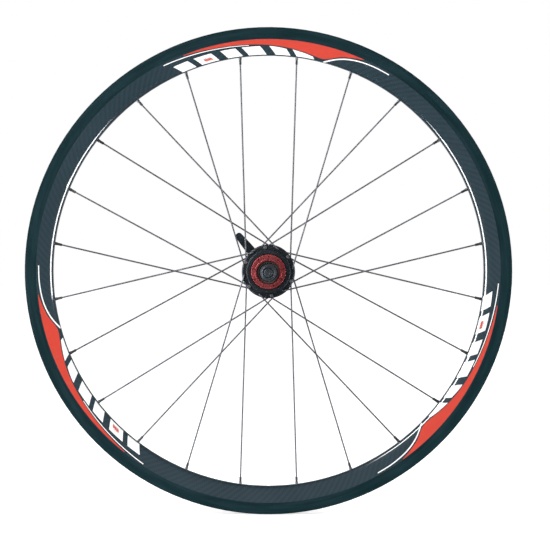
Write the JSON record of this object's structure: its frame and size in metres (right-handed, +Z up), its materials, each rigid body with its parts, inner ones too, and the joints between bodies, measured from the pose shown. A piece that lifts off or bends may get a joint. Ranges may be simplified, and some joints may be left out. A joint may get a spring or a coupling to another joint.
{
  "type": "bicycle rear wheel with quick-release skewer",
  "caption": "Deep-section road bicycle rear wheel without tyre: hollow tubular rim, crossed spokes, ratchet freehub hub and cam-lever quick-release skewer.",
  "frame": {"origin": "wheel centre: on the axle axis, midway between the two brake tracks", "axes": "+Y along the axle from the sprocket side to the lever side, the way the wheel spins about; +Z up, with the valve hole straight down; -Y faces a viewer of the sprocket side"},
  "size_m": [0.6339, 0.1744, 0.634],
  "materials": {
    "carbon": "glossy slate-grey woven carbon, matte black along the brake tracks",
    "hub_black": "black anodised, bead blasted, polished edges",
    "spoke_steel": "drawn stainless steel, slightly darkened",
    "nipple_dark": "black-nickel plated brass",
    "ratchet_steel": "hardened steel with a film of grease",
    "freehub_red": "red anodised, turned",
    "rubber_seal": "nitrile rubber",
    "bearing_steel": "ground bearing steel",
    "ball_steel": "polished bearing balls",
    "cage_plastic": "glass-filled nylon",
    "axle_alloy": "clear anodised, turned",
    "cap_alloy": "black anodised, turned",
    "rod_steel": "plated steel",
    "lever_black": "black anodised, forged",
    "saddle_plastic": "acetal",
    "nut_grey": "grey anodised, turned",
    "spring_steel": "plated spring wire"
  },
  "bodies": {
    "axle_assembly": {"axle": "axle_alloy", "end_cap_drive": "cap_alloy", "end_cap_far": "cap_alloy", "hub_spacer": "axle_alloy", "freehub_spacer": "axle_alloy", "hub_bearing_inner_rings": "bearing_steel", "freehub_bearing_inner_rings": "bearing_steel"},
    "wheel": {"rim": "carbon", "hub_shell": "hub_black", "dust_cover": "rubber_seal", "ratchet_ring": "ratchet_steel", "nipples_drive": "nipple_dark", "nipples_far": "nipple_dark", "hub_bearing_outer_rings": "bearing_steel", "hub_bearing_seals": "rubber_seal", "spoke_drive_01": "spoke_steel", "spoke_drive_02": "spoke_steel", "spoke_drive_03": "spoke_steel", "spoke_drive_04": "spoke_steel", "spoke_drive_05": "spoke_steel", "spoke_drive_06": "spoke_steel", "spoke_drive_07": "spoke_steel", "spoke_drive_08": "spoke_steel", "spoke_drive_09": "spoke_steel", "spoke_drive_10": "spoke_steel", "spoke_drive_11": "spoke_steel", "spoke_drive_12": "spoke_steel", "spoke_far_01": "spoke_steel", "spoke_far_02": "spoke_steel", "spoke_far_03": "spoke_steel", "spoke_far_04": "spoke_steel", "spoke_far_05": "spoke_steel", "spoke_far_06": "spoke_steel", "spoke_far_07": "spoke_steel", "spoke_far_08": "spoke_steel", "spoke_far_09": "spoke_steel", "spoke_far_10": "spoke_steel", "spoke_far_11": "spoke_steel", "spoke_far_12": "spoke_steel"},
    "hub_ball_set": {"hub_bearing_balls": "ball_steel", "hub_bearing_cages": "cage_plastic"},
    "freehub": {"freehub_body": "freehub_red", "freehub_seal": "rubber_seal", "freehub_circlip": "spring_steel", "pawl_spring": "spring_steel", "freehub_bearing_outer_rings": "bearing_steel", "freehub_bearing_seals": "rubber_seal"},
    "freehub_ball_set": {"freehub_bearing_balls": "ball_steel", "freehub_bearing_cages": "cage_plastic"},
    "pawl_body_1": {"pawl_1": "ratchet_steel"},
    "pawl_body_2": {"pawl_2": "ratchet_steel"},
    "pawl_body_3": {"pawl_3": "ratchet_steel"},
    "skewer_base": {"clamp_cup": "cap_alloy", "cam_saddle": "saddle_plastic", "skewer_spring_far": "spring_steel"},
    "skewer_shaft": {"skewer_rod": "rod_steel", "cam_dowel": "rod_steel"},
    "lever": {"cam_lever": "lever_black"},
    "nut": {"skewer_nut": "nut_grey", "skewer_spring_drive": "spring_steel"}
  },
  "joints": [
    {"name": "wheel_spin", "type": "hinge", "parent": "axle_assembly", "child": "wheel", "pos_m": [0, 0, 0], "axis": [0, 1, 0], "continuous": true},
    {"name": "hub_balls_roll", "type": "hinge", "parent": "axle_assembly", "child": "hub_ball_set", "pos_m": [0, 0.0165, 0], "axis": [0, 1, 0], "continuous": true},
    {"name": "freehub_spin", "type": "hinge", "parent": "axle_assembly", "child": "freehub", "pos_m": [0, -0.04, 0], "axis": [0, 1, 0], "continuous": true},
    {"name": "freehub_balls_roll", "type": "hinge", "parent": "axle_assembly", "child": "freehub_ball_set", "pos_m": [0, -0.04, 0], "axis": [0, 1, 0], "continuous": true},
    {"name": "pawl_swing_1", "type": "hinge", "parent": "freehub", "child": "pawl_body_1", "pos_m": [0.01288, -0.018, 0.00598], "axis": [0, 1, 0], "range_deg": [-12, 0], "stiffness_Nm_per_rad": 0.002, "springref_deg": -20.05, "deforming": ["pawl_spring"]},
    {"name": "pawl_swing_2", "type": "hinge", "parent": "freehub", "child": "pawl_body_2", "pos_m": [-0.01162, -0.018, 0.00817], "axis": [0, 1, 0], "range_deg": [-12, 0], "stiffness_Nm_per_rad": 0.002, "springref_deg": -20.05, "deforming": ["pawl_spring"]},
    {"name": "pawl_swing_3", "type": "hinge", "parent": "freehub", "child": "pawl_body_3", "pos_m": [-0.00126, -0.018, -0.01414], "axis": [0, 1, 0], "range_deg": [-12, 0], "stiffness_Nm_per_rad": 0.002, "springref_deg": -20.05, "deforming": ["pawl_spring"]},
    {"name": "skewer_turn", "type": "hinge", "parent": "axle_assembly", "child": "skewer_base", "pos_m": [0, 0.074, 0], "axis": [0, 1, 0], "continuous": true},
    {"name": "rod_draw", "type": "slide", "parent": "skewer_base", "child": "skewer_shaft", "axis": [0, 1, 0], "range_m": [-0.0025, 0]},
    {"name": "lever_open", "type": "hinge", "parent": "skewer_shaft", "child": "lever", "pos_m": [0, 0.0871, 0], "axis": [-0.749, 0, -0.6626], "range_deg": [0, 170]},
    {"name": "nut_turn", "type": "hinge", "parent": "skewer_shaft", "child": "nut", "pos_m": [0, -0.0765, 0], "axis": [0, 1, 0], "continuous": true}
  ],
  "couplings": [
    {"joint": "hub_balls_roll", "follows": "wheel_spin", "ratio": 0.6019},
    {"joint": "freehub_balls_roll", "follows": "freehub_spin", "ratio": 0.6019},
    {"joint": "rod_draw", "follows": "lever_open", "m_per_rad": -0.00084191}
  ]
}
